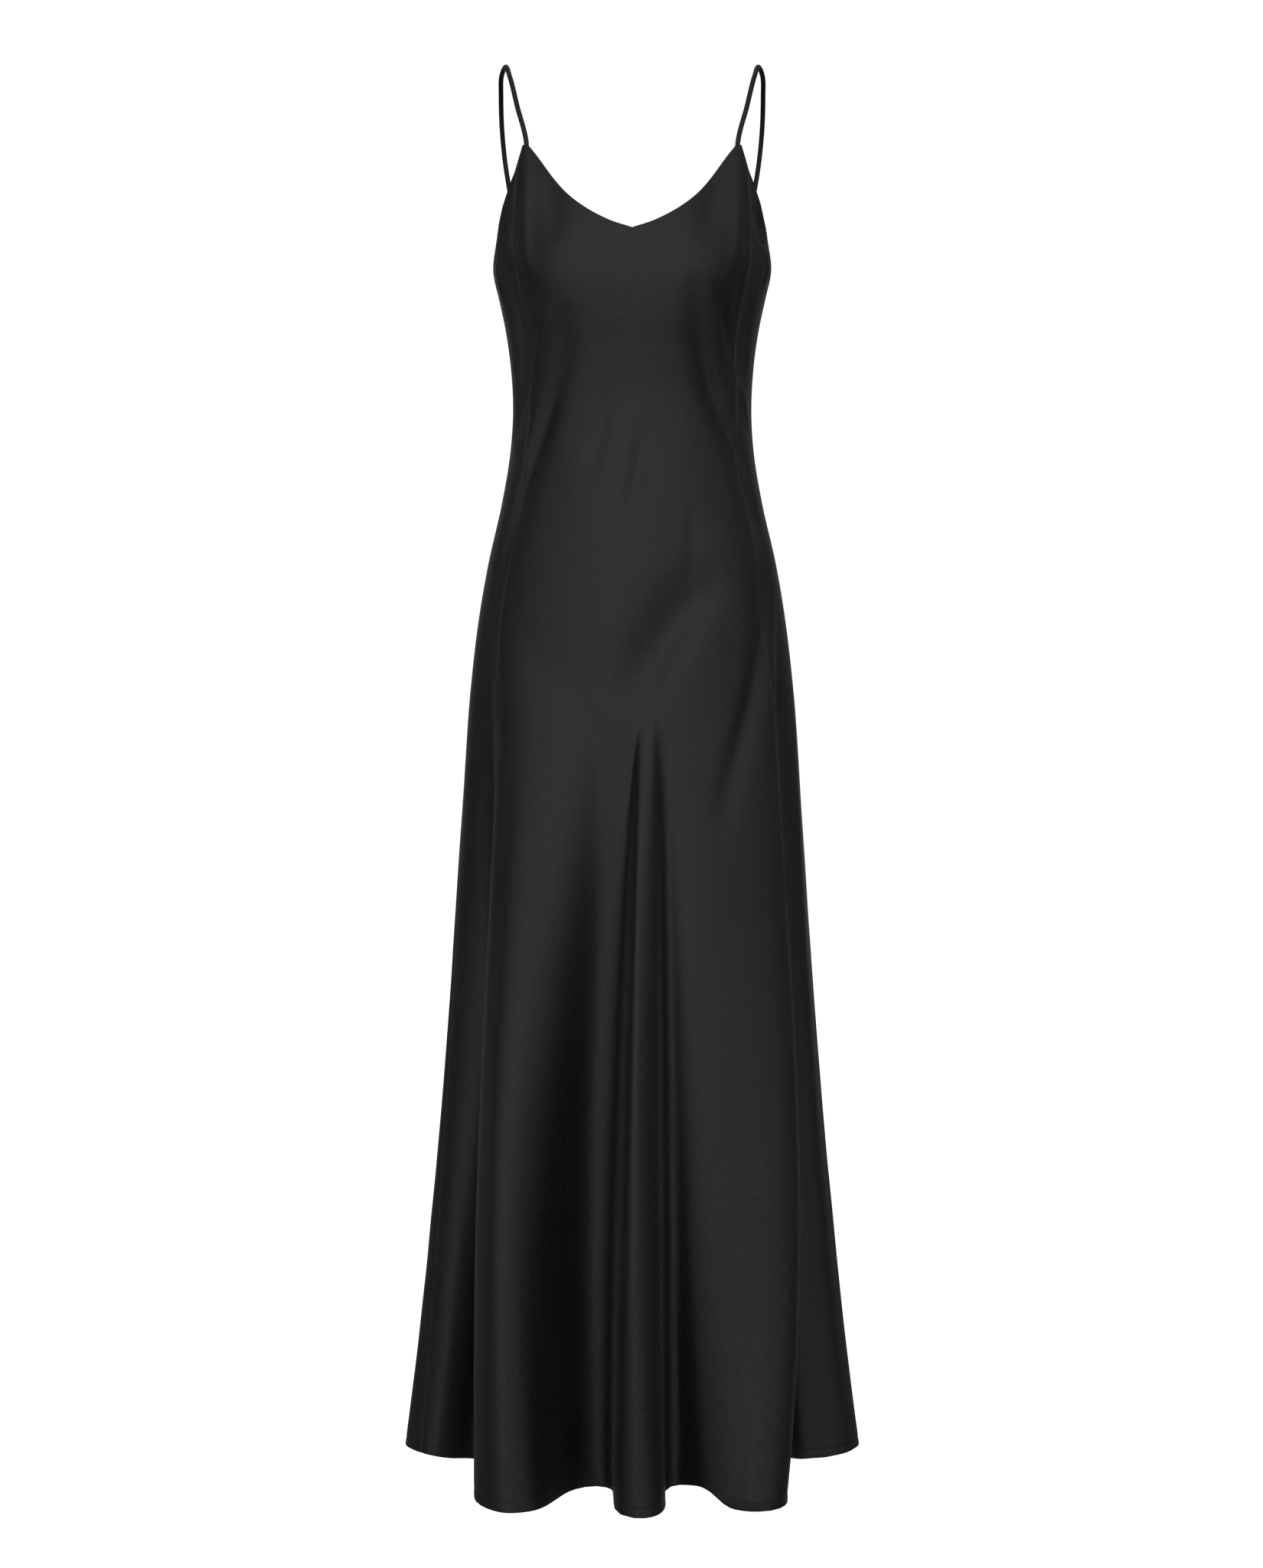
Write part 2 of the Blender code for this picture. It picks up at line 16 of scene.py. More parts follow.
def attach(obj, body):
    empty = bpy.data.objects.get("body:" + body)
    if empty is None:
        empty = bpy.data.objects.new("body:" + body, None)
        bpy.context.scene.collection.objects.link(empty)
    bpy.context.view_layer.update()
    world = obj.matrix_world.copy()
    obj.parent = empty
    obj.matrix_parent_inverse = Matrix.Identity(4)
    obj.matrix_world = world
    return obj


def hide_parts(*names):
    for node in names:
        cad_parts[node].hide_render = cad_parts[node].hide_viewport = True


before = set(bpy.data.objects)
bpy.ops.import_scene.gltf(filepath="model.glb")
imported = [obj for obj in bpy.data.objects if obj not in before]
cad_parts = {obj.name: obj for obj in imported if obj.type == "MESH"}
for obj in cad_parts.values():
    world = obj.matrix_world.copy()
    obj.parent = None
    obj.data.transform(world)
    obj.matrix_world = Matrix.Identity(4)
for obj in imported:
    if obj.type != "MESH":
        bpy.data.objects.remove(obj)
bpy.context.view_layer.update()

# ---------------------------------------------------------------------------
# Front panel. One length of black satin, cut on the bias so that it clings to the waist
# and hip and falls in soft flutes below. Its neck and armhole edges are turned in and its
# hem turned up and stitched.
# ---------------------------------------------------------------------------

HEM_HEIGHT = -1.438
CLOTH = 0.0006

# The plain form before any fold: an oval ring at each height, (height, half_width,
# front, back), in metres from the dress's axis.
SECTIONS = (
    (-0.060, 0.157, 0.072, 0.076),
    (-0.100, 0.149, 0.085, 0.088),
    (-0.145, 0.1438, 0.098, 0.096),
    (-0.180, 0.1428, 0.104, 0.099),
    (-0.216, 0.1448, 0.108, 0.100),
    (-0.240, 0.1395, 0.109, 0.098),
    (-0.270, 0.1330, 0.107, 0.094),
    (-0.310, 0.1270, 0.102, 0.088),
    (-0.358, 0.1244, 0.098, 0.082),
    (-0.400, 0.1268, 0.100, 0.085),
    (-0.454, 0.1356, 0.106, 0.096),
    (-0.518, 0.1500, 0.112, 0.109),
    (-0.582, 0.1608, 0.117, 0.118),
    (-0.646, 0.1684, 0.121, 0.122),
    (-0.774, 0.1776, 0.129, 0.126),
    (-0.966, 0.1904, 0.139, 0.132),
    (-1.158, 0.2064, 0.148, 0.140),
    (-1.350, 0.2264, 0.156, 0.148),
    (HEM_HEIGHT, 0.2376, 0.160, 0.152),
)
# How square each ring is: 2 is an ellipse.
SQUARENESS = 2.25

# Fullness from the bias cut: bearing, height, amount, spread in degrees, spread in height.
FULLNESS = (
    (53.0, -0.226, 0.010, 21.0, 0.072),
    (127.0, -0.226, 0.010, 21.0, 0.072),
    (238.0, -0.220, 0.005, 22.0, 0.060),
    (302.0, -0.220, 0.005, 22.0, 0.060),
    (247.0, -0.570, 0.006, 20.0, 0.070),
    (293.0, -0.570, 0.006, 20.0, 0.070),
)

# The flutes of the skirt and the troughs between them, in order round the dress: name, the
# height where it starts, and how it grows from there (1 evenly, less sooner).
FOLDS = (
    ("left_side_flare", -0.60, 1.0),
    ("left_front_trough", -0.54, 0.8),
    ("left_front_flute", -0.62, 0.65),
    ("left_centre_trough", -0.76, 0.55),
    ("centre_flute", -0.69, 0.5),
    ("right_centre_trough", -0.68, 0.5),
    ("right_front_flute", -0.66, 1.35),
    ("right_front_trough", -0.54, 0.8),
    ("right_side_flare", -0.60, 1.0),
    ("right_back_trough", -0.66, 1.0),
    ("right_back_flute", -0.72, 1.0),
    ("right_seat_trough", -0.76, 1.0),
    ("back_flute", -0.78, 1.0),
    ("left_seat_trough", -0.74, 1.0),
    ("left_back_flute", -0.70, 1.0),
    ("left_back_trough", -0.64, 1.0),
)
FOLD_TOP = -0.56
FOLD_SOFTNESS = 0.10

# The lines of cloth that the folds are made of: (fold, bearing at the hip, bearing half way
# down, bearing at the hem, distance from the axis at the hem, how far the hem dips there).
# A row with no name lies between the two named ones.
FOLD_LINES = (
    ("left_side_flare", -1.0, -1.0, -1.0, 0.2376, 0.0),
    ("", 3.5, 4.0, 5.0, 0.2278, 0.0),
    ("", 6.5, 7.5, 9.6, 0.2158, 0.0),
    ("", 9.0, 10.0, 11.6, 0.2040, 0.0013),
    ("", 11.5, 12.0, 10.9, 0.1910, 0.0042),
    ("", 13.8, 13.8, 8.7, 0.1777, 0.0067),
    ("", 15.8, 15.5, 6.5, 0.1650, 0.0095),
    ("left_front_trough", 18.0, 18.0, 8.0, 0.1575, 0.0100),
    ("", 22.0, 23.0, 18.4, 0.1580, 0.0080),
    ("", 27.0, 30.0, 34.0, 0.1786, 0.0040),
    ("", 32.5, 37.0, 44.8, 0.2128, 0.0010),
    ("", 38.0, 43.0, 51.1, 0.2443, 0.0),
    ("", 43.5, 48.5, 56.0, 0.2615, 0.0),
    ("left_front_flute", 50.0, 53.0, 62.0, 0.2715, 0.0),
    ("", 60.5, 57.0, 65.4, 0.2675, 0.0),
    ("", 71.0, 60.5, 68.2, 0.2545, 0.0),
    ("", 79.5, 64.5, 69.7, 0.2290, 0.0),
    ("", 84.0, 68.3, 69.9, 0.1960, 0.0),
    ("", 86.5, 72.0, 71.8, 0.1700, 0.0),
    ("left_centre_trough", 88.5, 76.3, 76.5, 0.1575, 0.0),
    ("", 90.2, 81.5, 81.5, 0.1610, 0.0),
    ("", 91.5, 85.4, 84.0, 0.1800, 0.0),
    ("", 92.6, 87.2, 85.3, 0.2157, 0.0),
    ("", 93.8, 88.6, 87.2, 0.2470, 0.0),
    ("centre_flute", 95.2, 90.4, 91.3, 0.2610, 0.0),
    ("", 97.2, 93.0, 95.2, 0.2530, 0.0),
    ("", 99.2, 96.0, 97.4, 0.2360, 0.0),
    ("", 101.2, 99.0, 98.7, 0.2080, 0.0),
    ("", 103.2, 101.6, 100.2, 0.1780, 0.0),
    ("right_centre_trough", 105.6, 105.3, 104.3, 0.1650, -0.0023),
    ("", 108.2, 108.0, 106.7, 0.1725, -0.0045),
    ("", 111.8, 111.6, 108.6, 0.1855, -0.0069),
    ("", 115.0, 115.0, 110.1, 0.1950, -0.0073),
    ("", 119.5, 119.6, 112.4, 0.2065, -0.0022),
    ("", 124.3, 124.3, 114.6, 0.2170, 0.0064),
    ("", 131.3, 131.0, 117.7, 0.2315, 0.0093),
    ("right_front_flute", 137.0, 136.0, 119.9, 0.2400, 0.0091),
    ("", 140.5, 139.5, 122.5, 0.2445, 0.0090),
    ("", 144.7, 143.2, 126.1, 0.2440, 0.0087),
    ("", 148.4, 146.5, 129.5, 0.2360, 0.0092),
    ("", 152.0, 149.5, 135.4, 0.2135, 0.0090),
    ("", 155.0, 152.5, 143.6, 0.1850, 0.0080),
    ("", 158.0, 155.5, 154.4, 0.1620, 0.0070),
    ("", 160.5, 158.5, 163.0, 0.1540, 0.0065),
    ("right_front_trough", 162.5, 161.0, 168.3, 0.1575, 0.0060),
    ("", 164.5, 163.5, 168.5, 0.1755, 0.0053),
    ("", 166.5, 165.5, 168.7, 0.1885, 0.0040),
    ("", 168.8, 167.5, 169.7, 0.2005, 0.0035),
    ("", 171.2, 170.0, 171.1, 0.2130, 0.0019),
    ("", 173.8, 172.8, 173.4, 0.2250, 0.0006),
    ("", 176.8, 176.5, 175.8, 0.2305, 0.0),
    ("right_side_flare", 181.0, 181.0, 181.0, 0.2376, 0.0),
    ("", 188.0, 189.0, 190.0, 0.2260, 0.0),
    ("", 196.0, 197.0, 198.0, 0.1930, 0.0),
    ("right_back_trough", 205.0, 206.0, 207.0, 0.1670, 0.0),
    ("", 214.0, 215.0, 216.0, 0.1800, 0.0),
    ("", 223.0, 224.0, 225.0, 0.2300, 0.0),
    ("right_back_flute", 232.0, 233.0, 234.0, 0.2520, 0.0),
    ("", 240.0, 241.0, 242.0, 0.2260, 0.0),
    ("", 247.0, 247.0, 247.0, 0.1800, 0.0),
    ("right_seat_trough", 254.0, 254.0, 254.0, 0.1580, 0.0),
    ("", 262.0, 261.0, 260.5, 0.1720, 0.0),
    ("", 268.0, 266.5, 265.0, 0.2180, 0.0),
    ("back_flute", 274.0, 273.0, 271.5, 0.2430, 0.0),
    ("", 280.0, 279.0, 278.0, 0.2200, 0.0),
    ("", 286.0, 284.5, 283.0, 0.1780, 0.0),
    ("left_seat_trough", 292.0, 291.0, 290.0, 0.1600, 0.0),
    ("", 299.0, 298.0, 297.0, 0.1780, 0.0),
    ("", 305.0, 303.5, 302.0, 0.2280, 0.0),
    ("left_back_flute", 312.0, 311.0, 310.0, 0.2550, 0.0),
    ("", 321.0, 320.0, 319.0, 0.2300, 0.0),
    ("", 330.0, 328.5, 327.0, 0.1880, 0.0),
    ("left_back_trough", 338.0, 337.0, 336.0, 0.1700, 0.0),
    ("", 346.0, 345.5, 345.0, 0.1900, 0.0),
    ("", 352.5, 352.2, 352.0, 0.2210, 0.0),
)

# The side seams: bearing at the hip, and place at the hem in rows of FOLDS. Both leave the
# hip's bearings below SEAM_SWING_TOP, and the one on -X swings forwards.
LEFT_SEAM = (0.0, 0.36)
RIGHT_SEAM = (180.0, 8.3)
SEAM_SWING_TOP = -0.75

# The front's top edge, by degrees from the nearer side seam: up the armhole to the strap
# point, across it, and down the neckline to the centre.
FRONT_ARMHOLE = (
    (0.0, -0.2160),
    (6.0, -0.2045),
    (12.0, -0.1755),
    (16.5, -0.1590),
    (21.0, -0.1435),
    (24.5, -0.1290),
    (27.0, -0.1165),
    (28.0, -0.1045),
    (28.6, -0.0950),
)
FRONT_NECKLINE = (
    (30.8, -0.0950),
    (37.0, -0.1105),
    (46.0, -0.1325),
    (56.0, -0.1530),
    (65.0, -0.1672),
    (77.0, -0.1802),
    (90.0, -0.1886),
)

# Creases laid on the form: how far each stands out (a trough is negative), how
# far it spreads towards smaller and towards larger bearings, and its path down the cloth
# as (bearing, height) points.
FRONT_CREASES = (
    ("left_strap_drag", 0.0046, 0.014, 0.0075,
     ((29.5, -0.088), (32.0, -0.118), (34.5, -0.148), (37.5, -0.190), (41.0, -0.245))),
    ("left_neck_hollow", -0.0036, 0.011, 0.016,
     ((43.0, -0.125), (46.5, -0.148), (49.5, -0.172), (52.5, -0.205))),
    ("right_strap_drag", 0.0042, 0.0080, 0.014,
     ((150.2, -0.088), (148.0, -0.120), (145.5, -0.150), (142.0, -0.190), (138.5, -0.245))),
    ("right_neck_hollow", -0.0048, 0.017, 0.011,
     ((139.0, -0.122), (134.5, -0.146), (130.5, -0.172), (125.0, -0.207))),
    ("left_armhole_hollow", -0.0048, 0.009, 0.012,
     ((22.5, -0.158), (19.5, -0.180), (18.5, -0.210))),
    ("left_underarm_ridge", 0.0018, 0.0040, 0.0045,
     ((20.0, -0.190), (16.5, -0.203), (14.5, -0.225), (14.0, -0.262))),
    ("left_side_hollow", -0.0100, 0.012, 0.026,
     ((17.0, -0.185), (23.0, -0.228), (24.5, -0.272), (22.0, -0.325), (17.5, -0.395))),
    ("left_bust_hollow", -0.0024, 0.014, 0.014,
     ((18.0, -0.206), (28.0, -0.226), (39.0, -0.244), (50.0, -0.270))),
    ("right_armhole_hollow", -0.0048, 0.012, 0.009,
     ((157.5, -0.158), (161.0, -0.175), (161.5, -0.198))),
    ("right_underarm_ridge", 0.0020, 0.0040, 0.0035,
     ((155.0, -0.188), (159.5, -0.194), (164.0, -0.203), (165.5, -0.218), (164.5, -0.245))),
    ("right_side_hollow", -0.0082, 0.026, 0.013,
     ((157.0, -0.185), (151.0, -0.233), (151.5, -0.285), (157.0, -0.345))),
    ("left_waist_drag", -0.0080, 0.010, 0.0135,
     ((57.0, -0.262), (52.5, -0.312), (44.2, -0.352), (37.2, -0.391),
      (32.2, -0.425), (27.6, -0.472), (24.6, -0.570))),
    ("left_waist_crest", 0.0022, 0.0050, 0.0065,
     ((52.0, -0.245), (44.4, -0.283), (34.9, -0.318), (28.0, -0.345), (17.9, -0.378))),
    ("right_waist_tuck", -0.0046, 0.0060, 0.0065,
     ((128.5, -0.240), (135.5, -0.264), (142.3, -0.287), (149.5, -0.318))),
    ("right_waist_crest", 0.0022, 0.0045, 0.0055,
     ((144.5, -0.308), (150.5, -0.329), (158.2, -0.350), (166.1, -0.380))),
    ("right_waist_drag", -0.0084, 0.0145, 0.0090,
     ((119.0, -0.235), (126.5, -0.300), (134.5, -0.341), (141.0, -0.369),
      (147.3, -0.393), (152.8, -0.420), (158.0, -0.490))),
    ("front_waist_drag", -0.0026, 0.0075, 0.0095,
     ((77.0, -0.335), (73.5, -0.375), (69.5, -0.410), (63.0, -0.450))),
    ("centre_waist_tuck", -0.0034, 0.0090, 0.0110,
     ((98.0, -0.378), (95.0, -0.412), (92.0, -0.442), (87.5, -0.490))),
    ("hip_tuck", -0.0016, 0.0070, 0.0080,
     ((122.0, -0.455), (120.5, -0.500), (118.6, -0.548))),
    ("hip_swell", 0.0022, 0.014, 0.013,
     ((129.0, -0.490), (139.0, -0.514), (150.0, -0.545))),
    ("front_hip_drag", -0.0110, 0.030, 0.0200,
     ((134.0, -0.535), (122.0, -0.556), (113.5, -0.577),
      (104.8, -0.606), (96.5, -0.638), (89.0, -0.680))),
    ("right_hip_trough", -0.0060, 0.010, 0.014,
     ((160.0, -0.470), (156.0, -0.530), (150.5, -0.592), (143.5, -0.655),
      (137.2, -0.700), (131.8, -0.740), (125.0, -0.805))),
)


def read_table(rows, at):
    """The values of a table's other columns where its first column is `at`, joined smoothly."""
    table = np.array(rows, float)
    table = table[np.argsort(table[:, 0])]
    key, values = table[:, 0], table[:, 1:]
    slopes = np.gradient(values, key, axis=0)
    at = np.clip(np.asarray(at, float), key[0], key[-1])
    i = np.clip(np.searchsorted(key, at, side="right") - 1, 0, len(key) - 2)
    span = key[i + 1] - key[i]
    t = ((at - key[i]) / span)[..., None]
    span = span[..., None]
    joined = (
        (1 + 2 * t) * (1 - t) ** 2 * values[i]
        + t * (1 - t) ** 2 * span * slopes[i]
        + t * t * (3 - 2 * t) * values[i + 1]
        - t * t * (1 - t) * span * slopes[i + 1]
    )
    return np.moveaxis(joined, -1, 0)


def ease(t):
    """0 to 1 as t goes from 0 to 1, level and uncurved at both ends."""
    t = np.clip(t, 0.0, 1.0)
    return t * t * t * (10 - 15 * t + 6 * t * t)


def plain_radius(bearing, height):
    """How far the plain form lies from the dress's axis."""
    half_width, front, back = read_table(SECTIONS, height)
    along, across = np.cos(np.radians(bearing)), np.sin(np.radians(bearing))
    depth = np.where(across > 0, front, back)
    oval = np.abs(along / half_width) ** SQUARENESS + np.abs(across / depth) ** SQUARENESS
    radius = oval ** (-1 / SQUARENESS)
    for centre, level, amount, spread_degrees, spread_height in FULLNESS:
        round_by = ((bearing - centre + 180) % 360 - 180) / spread_degrees
        up_by = (height - level) / spread_height
        radius = radius + amount * np.exp(-(round_by ** 2) - up_by ** 2)
    return radius


def way_down(height, top):
    """0 at `top` and above, 1 at the hem."""
    return np.clip((top - height) / (top - HEM_HEIGHT), 0.0, 1.0)


class ClosedCurve:
    """A smooth closed curve through values at keys that go once round, from 0 to `turn`."""

    def __init__(self, keys, values, turn):
        self.keys, self.values, self.turn = np.array(keys, float), np.array(values, float), turn
        n = len(keys)
        self.gap = np.diff(np.append(self.keys, self.keys[0] + turn))
        self.rise = (np.roll(self.values, -1, axis=0) - self.values) / self.gap[:, None]
        bends = np.zeros((n, n))
        for i in range(n):
            bends[i, i - 1] += self.gap[i - 1]
            bends[i, i] += 2 * (self.gap[i - 1] + self.gap[i])
            bends[i, (i + 1) % n] += self.gap[i]
        self.bend = np.linalg.solve(bends, 6 * (self.rise - np.roll(self.rise, 1, axis=0)))

    def __call__(self, at):
        at = np.asarray(at, float) % self.turn
        i = np.clip(np.searchsorted(self.keys, at, side="right") - 1, 0, len(self.keys) - 1)
        bend, next_bend = self.bend[i], self.bend[(i + 1) % len(self.keys)]
        g, t = np.asarray(self.gap[i])[..., None], np.asarray(at - self.keys[i])[..., None]
        slope = self.rise[i] - g * (2 * bend + next_bend) / 6
        curved = t * (slope + t * (bend / 2 + t * (next_bend - bend) / (6 * g)))
        return np.moveaxis(self.values[i] + curved, -1, 0)


def line_places():
    """The places of the rows of FOLD_LINES, counted in folds, by their length of cloth at the hem."""
    names = [fold[0] for fold in FOLDS]
    angle, reach = np.radians([row[3] for row in FOLD_LINES]), np.array([row[4] for row in FOLD_LINES])
    line = np.column_stack([reach * np.cos(angle), reach * np.sin(angle)])
    steps = np.linalg.norm(np.roll(line, -1, axis=0) - line, axis=1)
    named = [i for i, row in enumerate(FOLD_LINES) if row[0]]
    places = np.zeros(len(FOLD_LINES))
    for start, end in zip(named, [*named[1:], len(FOLD_LINES)]):
        so_far = np.concatenate([[0], np.cumsum(steps[start:end])])
        places[start:end] = names.index(FOLD_LINES[start][0]) + so_far[:-1] / so_far[-1]
    return places


DEGREES_PER_FOLD = 360 / len(FOLDS)
LINE_PLACES = line_places()
LINE_BEARINGS = np.array([row[1:4] for row in FOLD_LINES]) - LINE_PLACES[:, None] * DEGREES_PER_FOLD
LINE_VALUES = np.column_stack([LINE_BEARINGS, [row[4:] for row in FOLD_LINES]])
LINES = ClosedCurve(LINE_PLACES, LINE_VALUES, len(FOLDS))
GROWTH = ClosedCurve(range(len(FOLDS)), [fold[1:] for fold in FOLDS], len(FOLDS))


def bearing_of(place, height):
    """The bearing of a place, which counts the rows of FOLDS round the dress."""
    hip, middle, hem, _, _ = LINES(place)
    w = way_down(height, FOLD_TOP)
    shift = hip * (1 - 2 * w) * (1 - w) + middle * 4 * w * (1 - w) + hem * w * (2 * w - 1)
    return place * DEGREES_PER_FOLD + shift


def relief_of(place, height):
    """How far a flute stands out of the plain form, or a trough lies inside it."""
    starts, grows = GROWTH(place)
    _, _, hem, reach, _ = LINES(place)
    full = reach - plain_radius(place * DEGREES_PER_FOLD + hem, HEM_HEIGHT)
    down = way_down(height, starts)
    return full * down ** (1 + grows) * (1 + FOLD_SOFTNESS) / (down + FOLD_SOFTNESS)


def hem_height(place):
    """The height of the hem at a place."""
    return HEM_HEIGHT - LINES(place)[4]


ROUND_TWICE = np.linspace(-1, 2 * len(FOLDS), 40 * len(FOLDS))
HIP_BEARINGS = bearing_of(ROUND_TWICE, FOLD_TOP)
LEAST_SLOPE = 3.0
LONGEST_STEP = 0.5


def place_of(bearing, height, tries=10, apart=0.01):
    """The place of a bearing at a height, found by stepping nearer from its place at the hip."""
    bearing, height = np.broadcast_arrays(np.asarray(bearing, float), np.asarray(height, float))
    place = np.interp(bearing, HIP_BEARINGS, ROUND_TWICE)
    for _ in range(tries):
        here = bearing_of(place, height)
        slope = (bearing_of(place + apart, height) - here) / apart
        step = (bearing - here) / np.maximum(slope, LEAST_SLOPE)
        place = place + np.clip(step, -LONGEST_STEP, LONGEST_STEP)
    return place


def seam_place(seam, height):
    """The place of a side seam at a height."""
    hip_bearing, hem_place = seam
    hip_place = place_of(hip_bearing, FOLD_TOP)
    return hip_place + (hem_place - hip_place) * way_down(height, SEAM_SWING_TOP)


def cloth_points(place, height):
    """Points on the outside of the smooth cloth, before its creases."""
    bearing = bearing_of(place, height)
    radius = plain_radius(bearing, height) + relief_of(place, height)
    angle = np.radians(bearing)
    return np.stack((-radius * np.cos(angle), -radius * np.sin(angle), height), axis=-1)


def unit(vectors):
    """The same directions, each of length 1."""
    return vectors / np.linalg.norm(vectors, axis=-1, keepdims=True)


def cloth_normals(place, height, step=0.01, drop=0.003):
    """The directions that face straight out of the smooth cloth."""
    along = cloth_points(place + step, height) - cloth_points(place - step, height)
    down = cloth_points(place, height - drop) - cloth_points(place, height + drop)
    return unit(np.cross(down, along))


METRES_PER_DEGREE = 0.0022


def crease_line(path, count=28):
    """Points on the cloth along a crease, evenly spaced on a smooth curve through its path."""
    path = np.array(path, float)
    steps = np.linalg.norm(np.diff(path * (METRES_PER_DEGREE, 1), axis=0), axis=1)
    lengths = np.concatenate([[0], np.cumsum(steps)])
    bearing, height = read_table(np.column_stack([lengths, path]), np.linspace(0, lengths[-1], count))
    return cloth_points(place_of(bearing, height), height)


def crease_height(creases, points, normals):
    """How far every point of the cloth stands out for the creases that pass near it."""
    raised = np.zeros(points.shape[:-1])
    for _, amount, before, after, path in creases:
        line = crease_line(path)
        reach = 3 * max(before, after)
        near = np.all((points > line.min(0) - reach) & (points < line.max(0) + reach), axis=-1)
        here, outward = points[near], normals[near]
        best = np.full(len(here), np.inf)
        side = np.zeros(len(here))
        share = np.zeros(len(here))
        for i, (a, b) in enumerate(zip(line, line[1:])):
            run = b - a
            t = np.clip(((here - a) @ run) / (run @ run), 0, 1)
            away = here - a - t[:, None] * run
            distance = np.linalg.norm(away, axis=1)
            closer = distance < best
            best = np.where(closer, distance, best)
            turned = np.einsum("ij,ij->i", np.cross(np.broadcast_to(run, away.shape), away), outward)
            side = np.where(closer, turned, side)
            share = np.where(closer, (i + t) / (len(line) - 1), share)
        width = np.where(side > 0, after, before)
        taper = np.sin(np.pi * np.clip(share, 0, 1)) ** 0.8
        raised[near] += amount * taper * np.exp(-((best / width) ** 2))
    return raised


# The faint unevenness of hanging satin: (amount, how many to the metre across, how many to
# the metre down, a number that keeps one set of ripples apart from the other).
RIPPLES = (
    (0.00045, 14.0, 5.0, 3.1),
    (0.00022, 38.0, 15.0, 7.7),
)


def ripple_height(across, height):
    """How far every point of the cloth stands out for the ripples."""
    raised = np.zeros(height.shape)
    for amount, across_rate, down_rate, layer in RIPPLES:
        flat = [
            noise.noise(Vector((u * across_rate, v * down_rate, layer)))
            for u, v in zip(across.ravel(), height.ravel())
        ]
        raised += amount * np.reshape(flat, height.shape)
    return raised


TURNED_GAP = 0.0018
TOP_TURNING = 0.005
HEM_TURNING = 0.0085
TURN_ANGLES = (60, 20, -20, -60)


def turned_edge(turning):
    """Where a turned edge runs: (distance into the panel, depth inside it), from the raw edge."""
    half = TURNED_GAP / 2
    bend = [(half - half * math.cos(a), half + half * math.sin(a)) for a in np.radians(TURN_ANGLES)]
    return [(turning, TURNED_GAP), (turning * 0.55, TURNED_GAP), (half, TURNED_GAP), *bend, (half, 0.0)]


# What draws a panel's columns together: length of cloth at the hem, the same at the hip, and
# the turning of the hem in radians.
HEM_WORTH = 0.4
HIP_WORTH = 1.1
TURNING_WORTH = 0.02


def spread_places(marks, count):
    """Places for a panel's columns between marks, as close at the hip as at the bends of the hem."""
    places = [marks[0]]
    fine = np.linspace(marks[0], marks[-1], 6000)
    hem = np.diff(cloth_points(fine, np.full(fine.shape, HEM_HEIGHT)), axis=0)
    hip = np.diff(cloth_points(fine, np.full(fine.shape, FOLD_TOP)), axis=0)
    heading = np.unwrap(np.arctan2(hem[:, 1], hem[:, 0]))
    worth = HEM_WORTH * np.linalg.norm(hem, axis=1) + HIP_WORTH * np.linalg.norm(hip, axis=1)
    worth += TURNING_WORTH * np.abs(np.gradient(heading))
    so_far = np.concatenate([[0], np.cumsum(worth)])
    for start, end in zip(marks, marks[1:]):
        low, high = np.interp([start, end], fine, so_far)
        n = max(2, round(count * (high - low) / so_far[-1]))
        places += list(np.interp(low + (high - low) * np.arange(1, n + 1) / n, so_far, fine))
    return np.array(places)


def edge_heights(armhole, neckline, from_seam):
    """The height of a panel's top edge, which is straight across its strap point."""
    arm = read_table(armhole, from_seam)[0]
    neck = read_table(neckline, from_seam)[0]
    across = (from_seam > armhole[-1][0]) & (from_seam < neckline[0][0])
    return np.where(across, neckline[0][1], np.where(from_seam <= armhole[-1][0], arm, neck))


PANEL_COLUMNS = 168
PANEL_ROWS = 190
ROW_CROWDING = 1.25
SEAM_GAP = 0.0001
SEAM_ROLL = 0.0009
SEAM_ROLL_WIDTH = 0.0022
STITCH_LINE = 0.008
STITCH_DENT = 0.00035
STITCH_DENT_WIDTH = 0.0012
# Extra columns beside the seams, as shares of the panel, and extra rows below the top edge
# and above the hem, in metres.
SEAM_COLUMNS = np.array([0.0006, 0.0016, 0.0032])
TOP_ROWS = (0.0022, 0.0042)
HEM_ROWS = (0.0130, 0.0105, 0.0092, STITCH_LINE, 0.0068, 0.0052, 0.0030)


